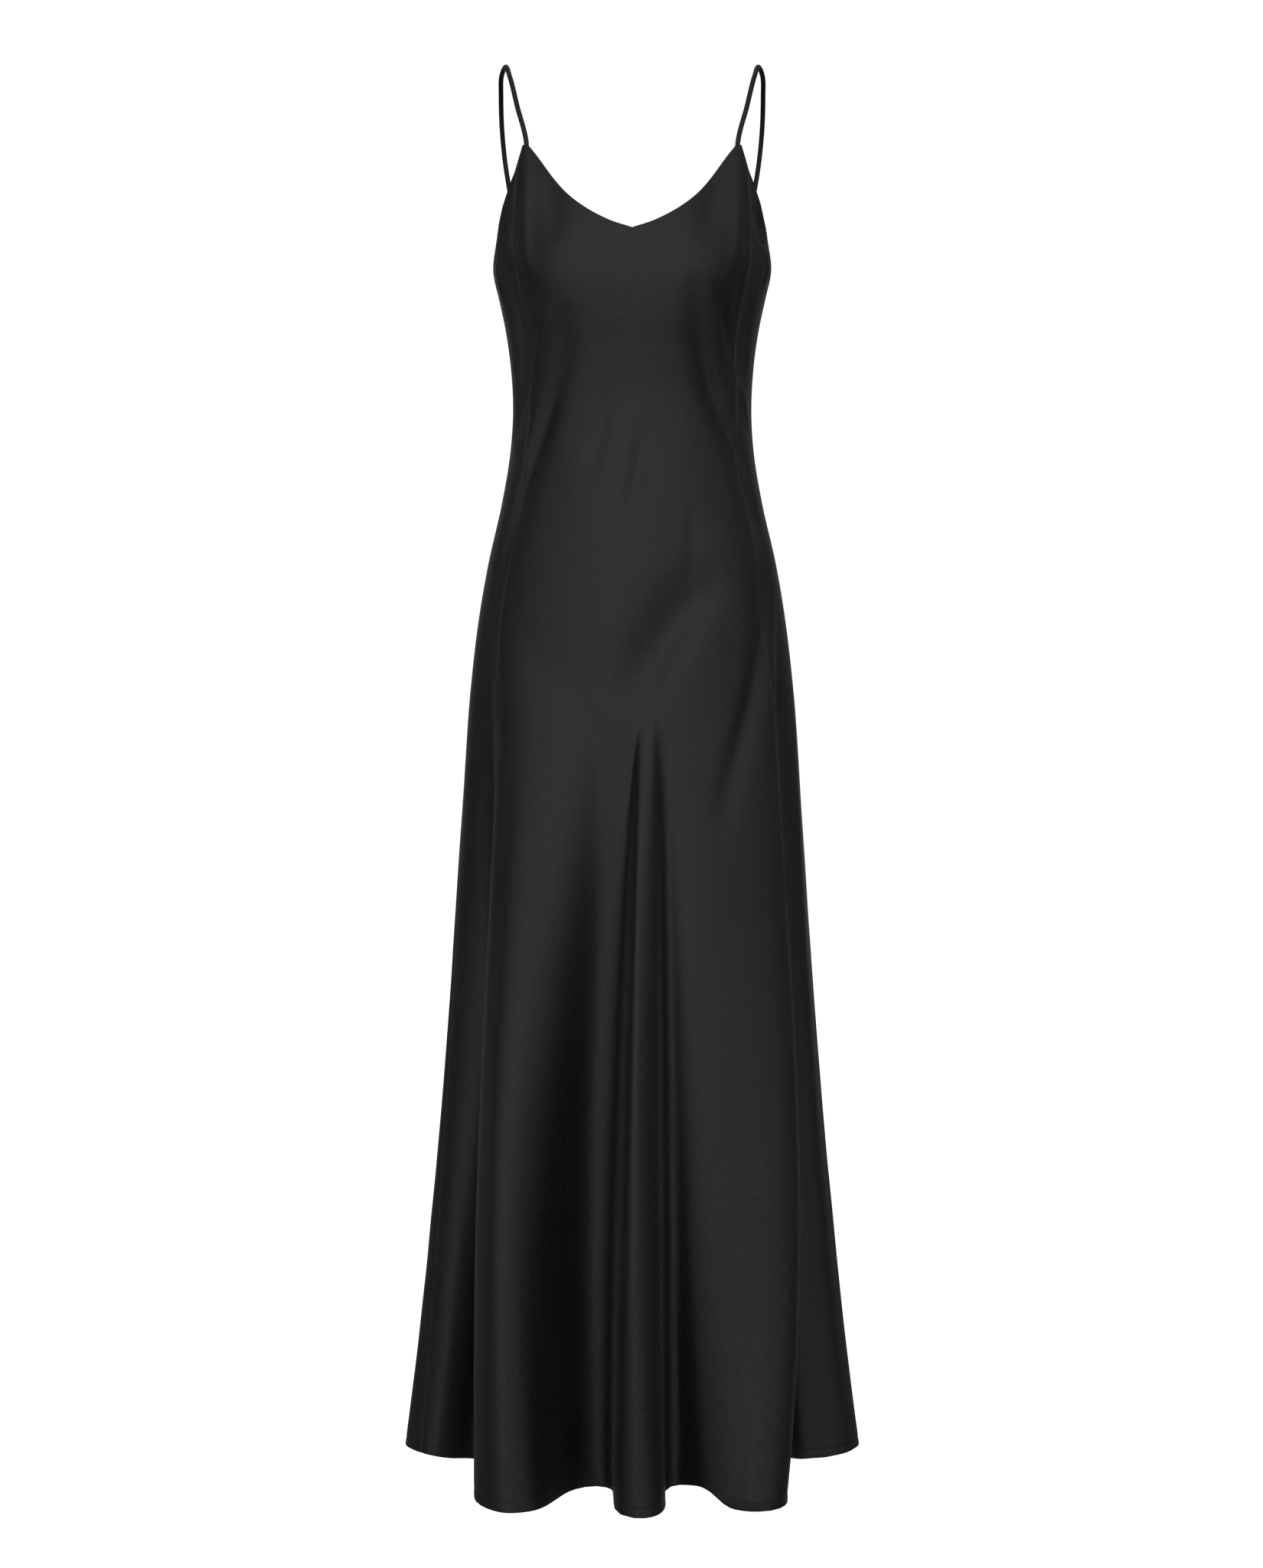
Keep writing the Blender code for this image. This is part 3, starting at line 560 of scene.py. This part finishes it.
def panel_grid(first_seam, last_seam, armhole, neckline, creases, ripple_start):
    """A panel's points, with each one's distance round from the middle and its height."""
    top = neckline[-1][1]
    start = first_seam[0]
    half = [0.0, armhole[-1][0], neckline[0][0]]
    bearings = [start + b for b in half + [90.0] + [180.0 - b for b in reversed(half)]]
    marks = [float(place_of(b, top)) for b in bearings]
    places = spread_places(marks, PANEL_COLUMNS)
    share = (places - places[0]) / (places[-1] - places[0])
    share = np.sort(np.concatenate([share, SEAM_COLUMNS, 1 - SEAM_COLUMNS]))
    places = places[0] + share * (places[-1] - places[0])
    from_start = bearing_of(places, np.full(places.shape, top)) - start
    edge = edge_heights(armhole, neckline, np.minimum(from_start, 180 - from_start))

    begin, end = seam_place(first_seam, HEM_HEIGHT), seam_place(last_seam, HEM_HEIGHT)
    hem = hem_height(begin + (end - begin) * share)

    rows = [(edge - into, deep) for into, deep in turned_edge(TOP_TURNING)]
    rows += [(edge - into, 0.0) for into in TOP_ROWS]
    upper, lower = edge - TOP_ROWS[-1], hem + HEM_ROWS[0]
    for i in range(1, PANEL_ROWS):
        rows.append((upper + (lower - upper) * (i / PANEL_ROWS) ** ROW_CROWDING, 0.0))
    rows += [(hem + into, 0.0) for into in HEM_ROWS]
    rows += [(hem + into, deep) for into, deep in reversed(turned_edge(HEM_TURNING))]
    height = np.array([level for level, _ in rows])
    depth = np.array([[deep] for _, deep in rows])

    begin, end = seam_place(first_seam, height), seam_place(last_seam, height)
    place = begin + (end - begin) * share
    points = cloth_points(place, height)
    normals = cloth_normals(place, height)
    steps = np.linalg.norm(np.diff(points, axis=1), axis=2)
    across = np.concatenate([np.zeros((len(rows), 1)), np.cumsum(steps, axis=1)], axis=1)
    across -= across[:, [across.shape[1] // 2]]

    raised = crease_height(creases, points, normals) + ripple_height(across + ripple_start, height)
    from_seam = np.minimum(across - across[:, [0]], across[:, [-1]] - across)
    raised -= SEAM_ROLL * np.exp(-((from_seam / SEAM_ROLL_WIDTH) ** 2))
    from_stitches = height - hem - STITCH_LINE
    raised -= STITCH_DENT * np.exp(-((from_stitches / STITCH_DENT_WIDTH) ** 2)) * (depth == 0)
    outside = points + normals * (raised - depth)[..., None]
    along = unit(np.gradient(points, axis=1))
    outside[:, 0] += along[:, 0] * SEAM_GAP / 2
    outside[:, -1] -= along[:, -1] * SEAM_GAP / 2
    return outside, across, height


def cloth_object(name, grid):
    """A thin sheet on a grid of points, with a map in metres of cloth for its weave."""
    outside, across, height = grid
    rows, columns = height.shape
    index = np.arange(rows * columns).reshape(rows, columns)
    corners = [index[:-1, :-1], index[1:, :-1], index[1:, 1:], index[:-1, 1:]]
    quads = np.stack(corners, axis=-1).reshape(-1, 4)
    mesh = bpy.data.meshes.new(name)
    mesh.from_pydata(outside.reshape(-1, 3).tolist(), [], quads.tolist())
    cloth_map = mesh.uv_layers.new(name="cloth")
    flat = np.stack([across.ravel(), height.ravel()], axis=-1)[quads.ravel()]
    cloth_map.data.foreach_set("uv", flat.ravel())
    mesh.shade_smooth()
    thing = bpy.data.objects.new(name, mesh)
    bpy.context.scene.collection.objects.link(thing)
    return thing


def thicken(thing, thickness):
    """Give a sheet its thickness, towards the inside of the dress."""
    wall = thing.modifiers.new("cloth", "SOLIDIFY")
    wall.thickness = thickness
    wall.offset = -1.0
    wall.use_rim = True
    wall.use_quality_normals = True


class Wire:
    """A node's socket, which Python's arithmetic and other nodes can be fed from."""

    def __init__(self, nodes, socket):
        self.nodes, self.socket = nodes, socket

    def output(self, name):
        """Another output of the same node."""
        return Wire(self.nodes, self.socket.node.outputs[name])

    def math(self, operation, other=0.0):
        return self.nodes.node("ShaderNodeMath", {"operation": operation}, self, other)

    def __add__(self, other):
        return self.math("ADD", other)

    def __sub__(self, other):
        return self.math("SUBTRACT", other)

    def __mul__(self, other):
        return self.math("MULTIPLY", other)

    def __truediv__(self, other):
        return self.math("DIVIDE", other)


class Nodes:
    """A tree of nodes that are made one by one, by one method."""

    def __init__(self, tree):
        self.tree = tree

    def node(self, kind, settings=None, *values, output=0, **named):
        """A node with its settings and inputs, given as one of its outputs."""
        made = self.tree.nodes.new(kind)
        for key, value in (settings or {}).items():
            setattr(made, key, value)
        for key, value in [*enumerate(values), *named.items()]:
            self.feed(made.inputs[key.replace("_", " ") if isinstance(key, str) else key], value)
        return Wire(self, made.outputs[output] if len(made.outputs) else None)

    def feed(self, socket, value):
        """Link a wire to a socket, or set the socket to a plain value."""
        if isinstance(value, Wire):
            self.tree.links.new(value.socket, socket)
        else:
            socket.default_value = value


class Finish(Nodes):
    """A material, whose shader's sockets are fed by surface()."""

    def __init__(self, name):
        self.material = bpy.data.materials.new(name)
        self.material.use_nodes = True
        super().__init__(self.material.node_tree)
        self.principled = self.tree.nodes["Principled BSDF"]

    def surface(self, name, value):
        self.feed(self.principled.inputs[name], value)


def satin_finish(name, base, roughness):
    """Black satin: long floats of shiny thread lying on the bias, over a fine diagonal twill."""
    satin = Finish(name)
    cloth_map = satin.node("ShaderNodeUVMap", {"uv_map": "cloth"})
    along_floats = satin.node(
        "ShaderNodeMapping", {"vector_type": "POINT"},
        Vector=cloth_map, Rotation=(0, 0, math.radians(45)), Scale=(230.0, 680.0, 1.0),
    )
    floats = satin.node(
        "ShaderNodeTexNoise", {"noise_dimensions": "2D"}, Vector=along_floats, Scale=1.0, Detail=2.0
    )
    across_ribs = satin.node(
        "ShaderNodeMapping", {"vector_type": "POINT"}, Vector=cloth_map, Rotation=(0, 0, math.radians(-45))
    )
    ribs = satin.node(
        "ShaderNodeTexWave", {"wave_type": "BANDS", "bands_direction": "X"},
        Vector=across_ribs, Scale=170.0, Distortion=1.2, Detail=1.0, Detail_Scale=3.0,
    )
    clouds = satin.node(
        "ShaderNodeTexNoise", {"noise_dimensions": "2D"}, Vector=cloth_map, Scale=9.0, Detail=3.0
    )
    colour = satin.node("ShaderNodeMix", {"data_type": "RGBA"}, output=2)
    share, dark, light = (colour.socket.node.inputs[i] for i in (0, 6, 7))
    satin.feed(share, floats * 1.1 + ribs * 0.2 + clouds * 0.3 - 0.3)
    satin.feed(dark, (*[channel * 0.2 for channel in base], 1.0))
    satin.feed(light, (*[channel * 1.9 for channel in base], 1.0))
    relief = satin.node("ShaderNodeBump", Strength=1.0, Distance=0.0005, Height=floats * 0.6 + ribs * 0.4)
    satin.surface("Base Color", colour)
    satin.surface("Roughness", floats * 0.10 + clouds * 0.06 + (roughness - 0.08))
    satin.surface("Normal", relief)
    satin.surface("Specular IOR Level", 0.5)
    satin.surface("Sheen Weight", 0.12)
    satin.surface("Sheen Roughness", 0.35)
    satin.surface("Sheen Tint", (0.8, 0.82, 0.86, 1.0))
    return satin.material


SATIN_BASE = (0.0115, 0.0115, 0.0122)
satin = satin_finish("black_satin", SATIN_BASE, 0.32)

front_grid = panel_grid(LEFT_SEAM, RIGHT_SEAM, FRONT_ARMHOLE, FRONT_NECKLINE, FRONT_CREASES, 0.0)
front = cloth_object("front", front_grid)
thicken(front, CLOTH)
front.data.materials.append(satin)
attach(front, "root")
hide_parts("front_panel")

# ---------------------------------------------------------------------------
# Back panel. The same satin on the bias, with a low, nearly straight top edge between
# the two strap points, joined to the front at the side seams.
# ---------------------------------------------------------------------------

BACK_ARMHOLE = (
    (0.0, -0.2160),
    (12.0, -0.2190),
    (24.0, -0.2140),
    (34.0, -0.2040),
    (40.0, -0.1960),
)
BACK_NECKLINE = (
    (42.4, -0.1960),
    (50.0, -0.2060),
    (62.0, -0.2160),
    (76.0, -0.2210),
    (90.0, -0.2225),
)
BACK_CREASES = (
    ("right_waist_drag", -0.0036, 0.012, 0.009,
     ((204.0, -0.320), (214.0, -0.365), (223.0, -0.410), (230.0, -0.470))),
    ("left_waist_drag", -0.0038, 0.009, 0.012,
     ((336.0, -0.325), (326.5, -0.368), (317.0, -0.408), (309.0, -0.460))),
    ("right_seat_drag", -0.0016, 0.012, 0.008,
     ((228.0, -0.300), (238.0, -0.370), (243.0, -0.440))),
    ("left_seat_drag", -0.0018, 0.009, 0.012,
     ((314.0, -0.290), (304.0, -0.355), (298.5, -0.430))),
    ("centre_waist_tuck", -0.0018, 0.008, 0.009,
     ((261.0, -0.360), (265.5, -0.400), (271.0, -0.455))),
    ("seat_line", -0.0028, 0.012, 0.018,
     ((236.0, -0.668), (252.0, -0.694), (268.0, -0.704), (282.0, -0.696))),
)

LEFT_SEAM_AGAIN = (LEFT_SEAM[0] + 360, LEFT_SEAM[1] + len(FOLDS))
back_grid = panel_grid(RIGHT_SEAM, LEFT_SEAM_AGAIN, BACK_ARMHOLE, BACK_NECKLINE, BACK_CREASES, 5.0)
back = cloth_object("back", back_grid)
thicken(back, CLOTH)
back.data.materials.append(satin)
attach(back, "root")
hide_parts("back_panel")

# ---------------------------------------------------------------------------
# Straps. Each is a narrow bias strip sewn into a tube and turned right side out, with its
# two ends caught inside the turned edges of the front and the back.
# ---------------------------------------------------------------------------

STRAP_WIDTH = 0.0052
STRAP_THICKNESS = 0.0046
STRAP_SIDES = 18
STRAP_STATIONS = 110
STRAP_INSIDE = 0.0055
STRAP_BEHIND = 0.0026
STRAP_FLATTENS = 0.012
STRAP_HOLD = 0.015
STRAP_CUT_WIDTH = 0.0135
SHOULDER_SPAN = 0.264
# The straps face away from this line through the shoulders: (y, height).
SHOULDER_CENTRE = (0.010, -0.120)
# (x, y, height) of the strap on +X, from the front strap point over the shoulder.
STRAP_ROUTE = (
    (0.1180, -0.0420, -0.0510),
    (0.1270, -0.0180, -0.0130),
    (SHOULDER_SPAN / 2, 0.0000, STRAP_THICKNESS / 2),
    (0.1374, 0.0200, -0.0020),
    (0.1393, 0.0450, -0.0170),
    (0.1393, 0.0680, -0.0480),
    (0.1350, 0.0840, -0.0900),
    (0.1240, 0.0930, -0.1400),
)


def strap_anchor(bearing, height):
    """Where a strap is caught behind an edge: below it, at it, and the cloth's directions there."""
    place = place_of(np.array([bearing]), np.array([height]))
    level = np.array([height])
    outward = cloth_normals(place, level)[0]
    along = unit(cloth_points(place + 0.01, level) - cloth_points(place - 0.01, level))[0]
    at_edge = cloth_points(place, level)[0] - outward * STRAP_BEHIND
    below = cloth_points(place, level - STRAP_INSIDE)[0] - outward * STRAP_BEHIND
    return below, at_edge, outward, along


def strap_points(side):
    """The strap's middle line, with its sideways and outward directions at every station."""
    mirror = (lambda b: b) if side < 0 else (lambda b: 180.0 - b)
    front_bearing = mirror((FRONT_ARMHOLE[-1][0] + FRONT_NECKLINE[0][0]) / 2)
    back_bearing = 360.0 - mirror((BACK_ARMHOLE[-1][0] + BACK_NECKLINE[0][0]) / 2)
    first = strap_anchor(front_bearing, FRONT_NECKLINE[0][1])
    last = strap_anchor(back_bearing, BACK_NECKLINE[0][1])
    route = np.array([(side * x, y, z) for x, y, z in STRAP_ROUTE])
    for (below, at_edge, _, _), beyond in ((first, route[0]), (last, route[-1])):
        lean = beyond - at_edge
        below[0] -= lean[0] / lean[2] * STRAP_INSIDE
    knots = np.array([first[0], first[1], *route, last[1], last[0]])
    reach = np.concatenate([[0], np.cumsum(np.linalg.norm(np.diff(knots, axis=0), axis=1))])
    line = read_table(np.column_stack([reach, knots]), np.linspace(0, reach[-1], STRAP_STATIONS)).T
    tangent = unit(np.gradient(line, axis=0))
    outward = (line - (0.0, *SHOULDER_CENTRE)) * (0.0, 1.0, 1.0)
    station = np.arange(STRAP_STATIONS)
    from_end = np.minimum(station, station[::-1]) * reach[-1] / (STRAP_STATIONS - 1)
    hold = ease(1 - from_end / STRAP_HOLD)[:, None]
    ends = np.where(station[:, None] < STRAP_STATIONS / 2, first[2], last[2])
    outward = unit(outward) * (1 - hold) + ends * hold
    outward -= tangent * np.einsum("ij,ij->i", outward, tangent)[:, None]
    outward = unit(outward)
    sideways = np.cross(tangent, outward)
    return line, sideways, outward, from_end


def strap_object(name, side):
    """One strap: rings of points round its middle line, closed at both ends."""
    line, sideways, outward, from_end = strap_points(side)
    around = 2 * np.pi * np.arange(STRAP_SIDES) / STRAP_SIDES
    length = np.concatenate([[0], np.cumsum(np.linalg.norm(np.diff(line, axis=0), axis=1))])
    flatten = 0.35 + 0.65 * ease(from_end / STRAP_FLATTENS)
    across = np.cos(around)[None, :] * np.full((len(line), 1), STRAP_WIDTH / 2)
    through = np.sin(around)[None, :] * (STRAP_THICKNESS / 2 * flatten)[:, None]
    ring = line[:, None] + sideways[:, None] * across[..., None] + outward[:, None] * through[..., None]
    index = np.arange(ring.shape[0] * STRAP_SIDES).reshape(-1, STRAP_SIDES)
    beside = np.roll(index, -1, axis=1)
    quads = np.stack([index[:-1], beside[:-1], beside[1:], index[1:]], axis=-1).reshape(-1, 4)
    faces = [*quads.tolist(), index[0, ::-1].tolist(), index[-1].tolist()]
    mesh = bpy.data.meshes.new(name)
    mesh.from_pydata(ring.reshape(-1, 3).tolist(), [], faces)
    strip = bmesh.new()
    strip.from_mesh(mesh)
    bmesh.ops.recalc_face_normals(strip, faces=strip.faces)
    cloth_map = strip.loops.layers.uv.new("cloth")
    for face in strip.faces:
        columns = [loop.vert.index % STRAP_SIDES for loop in face.loops]
        wraps = max(columns) == STRAP_SIDES - 1 and min(columns) == 0
        for loop, column in zip(face.loops, columns):
            turn = (column + STRAP_SIDES * (wraps and column == 0)) / STRAP_SIDES
            loop[cloth_map].uv = (turn * STRAP_CUT_WIDTH, length[loop.vert.index // STRAP_SIDES])
    strip.to_mesh(mesh)
    strip.free()
    mesh.shade_smooth()
    thing = bpy.data.objects.new(name, mesh)
    bpy.context.scene.collection.objects.link(thing)
    return thing


for name, node, side in (("strap_l", "strap_left", -1), ("strap_r", "strap_right", 1)):
    strap = strap_object(name, side)
    strap.data.materials.append(satin)
    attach(strap, "root")
    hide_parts(node)

# ---------------------------------------------------------------------------
# Hem stitching. A line of small machine stitches in black thread, which holds the
# turned-up hem all round the skirt.
# ---------------------------------------------------------------------------

STITCH_LENGTH = 0.0024
STITCH_SPACING = 0.0034
STITCH_RADIUS = 0.00022


def stitch_path(name, grid):
    """A line on the cloth's outside at the height of the hem stitching."""
    outside = grid[0]
    rows_below = len(turned_edge(HEM_TURNING)) + len(HEM_ROWS) - HEM_ROWS.index(STITCH_LINE)
    line = outside[-rows_below, 2:-2]
    mesh = bpy.data.meshes.new(name)
    mesh.from_pydata(line.tolist(), [(i, i + 1) for i in range(len(line) - 1)], [])
    thing = bpy.data.objects.new(name, mesh)
    bpy.context.scene.collection.objects.link(thing)
    return thing


def stitch_tree(thread):
    """Geometry nodes that lay stitches of a given length and spacing along a line."""
    tree = bpy.data.node_groups.new("stitches", "GeometryNodeTree")
    tree.interface.new_socket("Geometry", in_out="INPUT", socket_type="NodeSocketGeometry")
    for name in ("Stitch length", "Spacing", "Thread radius"):
        tree.interface.new_socket(name, in_out="INPUT", socket_type="NodeSocketFloat")
    tree.interface.new_socket("Geometry", in_out="OUTPUT", socket_type="NodeSocketGeometry")
    stitches = Nodes(tree)
    given = stitches.node("NodeGroupInput")
    radius, spacing = given.output("Thread radius"), given.output("Spacing")
    line = stitches.node("GeometryNodeMeshToCurve", Mesh=given)
    spots = stitches.node("GeometryNodeResampleCurve", {"mode": "LENGTH"}, Curve=line, Length=spacing)
    bead = stitches.node("GeometryNodeMeshUVSphere", Segments=8, Rings=6, Radius=1.0)
    size = stitches.node("ShaderNodeCombineXYZ", X=radius, Y=radius, Z=given.output("Stitch length") * 0.5)
    way = stitches.node("GeometryNodeInputTangent")
    turn = stitches.node("FunctionNodeAlignRotationToVector", {"axis": "Z"}, Vector=way)
    laid = stitches.node(
        "GeometryNodeInstanceOnPoints", Points=spots, Instance=bead, Rotation=turn, Scale=size
    )
    real = stitches.node("GeometryNodeRealizeInstances", Geometry=laid)
    smooth = stitches.node("GeometryNodeSetShadeSmooth", Geometry=real)
    dyed = stitches.node("GeometryNodeSetMaterial", Geometry=smooth, Material=thread)
    stitches.node("NodeGroupOutput", {}, dyed)
    return tree


def thread_finish(name, base, roughness):
    """Sewing thread, with the unevenness of its twist."""
    thread = Finish(name)
    place = thread.node("ShaderNodeTexCoord", output="Object")
    twist = thread.node("ShaderNodeTexNoise", Vector=place, Scale=900.0, Detail=1.0)
    relief = thread.node("ShaderNodeBump", Strength=0.4, Distance=0.0001, Height=twist)
    thread.surface("Roughness", twist * 0.2 + (roughness - 0.1))
    thread.surface("Normal", relief)
    thread.surface("Base Color", (*base, 1.0))
    return thread.material


black_thread = thread_finish("black_thread", (0.014, 0.014, 0.015), 0.5)
stitches = stitch_tree(black_thread)
stitch_sizes = {"Stitch length": STITCH_LENGTH, "Spacing": STITCH_SPACING, "Thread radius": STITCH_RADIUS}
for name, grid in (("front_hem_stitches", front_grid), ("back_hem_stitches", back_grid)):
    path = stitch_path(name + "_line", grid)
    laid = path.modifiers.new("stitches", "NODES")
    laid.node_group = stitches
    for socket in stitches.interface.items_tree:
        if socket.name in stitch_sizes:
            laid[socket.identifier] = stitch_sizes[socket.name]
    view_layer = bpy.context.evaluated_depsgraph_get()
    mesh = bpy.data.meshes.new_from_object(path.evaluated_get(view_layer))
    bpy.data.objects.remove(path, do_unlink=True)
    row = bpy.data.objects.new(name, mesh)
    bpy.context.scene.collection.objects.link(row)
    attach(row, "root")

# ---------------------------------------------------------------------------
# Studio. A white sweep with no visible horizon, a broad soft light in front of the dress, a
# weaker one behind it, dark sides, and a low black screen in front of the skirt.
# ---------------------------------------------------------------------------

CAMERA_DISTANCE = 2.6
CAMERA_PLACE = (-0.0006, -CAMERA_DISTANCE, -0.7472)
VIEW_HEIGHT = 1.6384
SENSOR = 36.0

camera = bpy.data.cameras.new("camera")
camera.sensor_width = SENSOR
camera.lens = SENSOR * CAMERA_DISTANCE / VIEW_HEIGHT
viewer = bpy.data.objects.new("camera", camera)
viewer.location = CAMERA_PLACE
viewer.rotation_euler = (math.radians(90), 0, 0)
bpy.context.scene.collection.objects.link(viewer)
bpy.context.scene.camera = viewer


def sheet_of_studio(name, corners, material):
    """A flat sheet with four corners that belongs to the studio, not to the dress."""
    mesh = bpy.data.meshes.new(name)
    mesh.from_pydata(corners, [], [(0, 1, 2, 3)])
    mesh.materials.append(material)
    sheet = bpy.data.objects.new(name, mesh)
    bpy.context.scene.collection.objects.link(sheet)
    return sheet


FLOOR_HEIGHT = -1.75
FLOOR_REACH = 12.0
white = Finish("white_floor")
white.surface("Base Color", (0.9, 0.9, 0.9, 1.0))
white.surface("Roughness", 0.9)
white.surface("Emission Color", (1.0, 1.0, 1.0, 1.0))
white.surface("Emission Strength", 0.95)
round_floor = ((-1, -1), (1, -1), (1, 1), (-1, 1))
floor = sheet_of_studio(
    "floor", [(x * FLOOR_REACH, y * FLOOR_REACH, FLOOR_HEIGHT) for x, y in round_floor], white.material
)
floor.visible_diffuse = False
floor.visible_glossy = False

# The low black screen, which keeps light off the lower skirt.
SCREEN_REACH = 0.70
SCREEN_DISTANCE = 1.60
SCREEN_TOP = -1.34
black = Finish("black_screen")
black.surface("Base Color", (0.01, 0.01, 0.01, 1.0))
black.surface("Roughness", 1.0)
round_screen = ((-1, FLOOR_HEIGHT), (1, FLOOR_HEIGHT), (1, SCREEN_TOP), (-1, SCREEN_TOP))
screen = sheet_of_studio(
    "screen", [(x * SCREEN_REACH, -SCREEN_DISTANCE, z) for x, z in round_screen], black.material
)
screen.visible_camera = False

# How bright the room is: (direction, brightness), from 0 straight in front of the dress to
# 1 straight behind it. It fades towards the ceiling and towards the floor.
ROOM_LIGHT = (
    (0.0, 0.88),
    (0.10, 0.81),
    (0.24, 0.57),
    (0.38, 0.32),
    (0.54, 0.14),
    (0.80, 0.09),
    (0.92, 0.26),
    (1.0, 0.80),
)
CEILING_FADE = {"From_Min": 0.50, "From_Max": 1.00, "To_Min": 1.0, "To_Max": 0.70}
FLOOR_FADE = {"From_Min": -0.46, "From_Max": 0.00, "To_Min": 0.24, "To_Max": 1.0}
BACKDROP = 1.05

world = bpy.data.worlds.new("studio")
world.use_nodes = True
bpy.context.scene.world = world
room = Nodes(world.node_tree)
room.tree.nodes.clear()
facing = room.node("ShaderNodeSeparateXYZ", {}, room.node("ShaderNodeTexCoord", output="Generated"))
turned = facing.output("X").math("ARCTAN2", facing.output("Y") * -1.0).math("ABSOLUTE") / math.pi
level = room.node("ShaderNodeFloatCurve", Value=turned)
curve = level.socket.node.mapping
while len(curve.curves[0].points) < len(ROOM_LIGHT):
    curve.curves[0].points.new(0.5, 0.5)
for point, place in zip(curve.curves[0].points, ROOM_LIGHT):
    point.location = place
curve.update()
smoothly = {"interpolation_type": "SMOOTHSTEP"}
for fade in (CEILING_FADE, FLOOR_FADE):
    level = level * room.node("ShaderNodeMapRange", smoothly, Value=facing.output("Z"), **fade)
lit = room.node("ShaderNodeBackground", Color=(1.0, 1.0, 1.0, 1.0), Strength=level)
seen = room.node("ShaderNodeBackground", Color=(1.0, 1.0, 1.0, 1.0), Strength=BACKDROP)
ray = room.node("ShaderNodeLightPath", output="Is Camera Ray")
room.node("ShaderNodeOutputWorld", {}, room.node("ShaderNodeMixShader", {}, ray, lit, seen))
bpy.context.scene.view_settings.view_transform = "Standard"
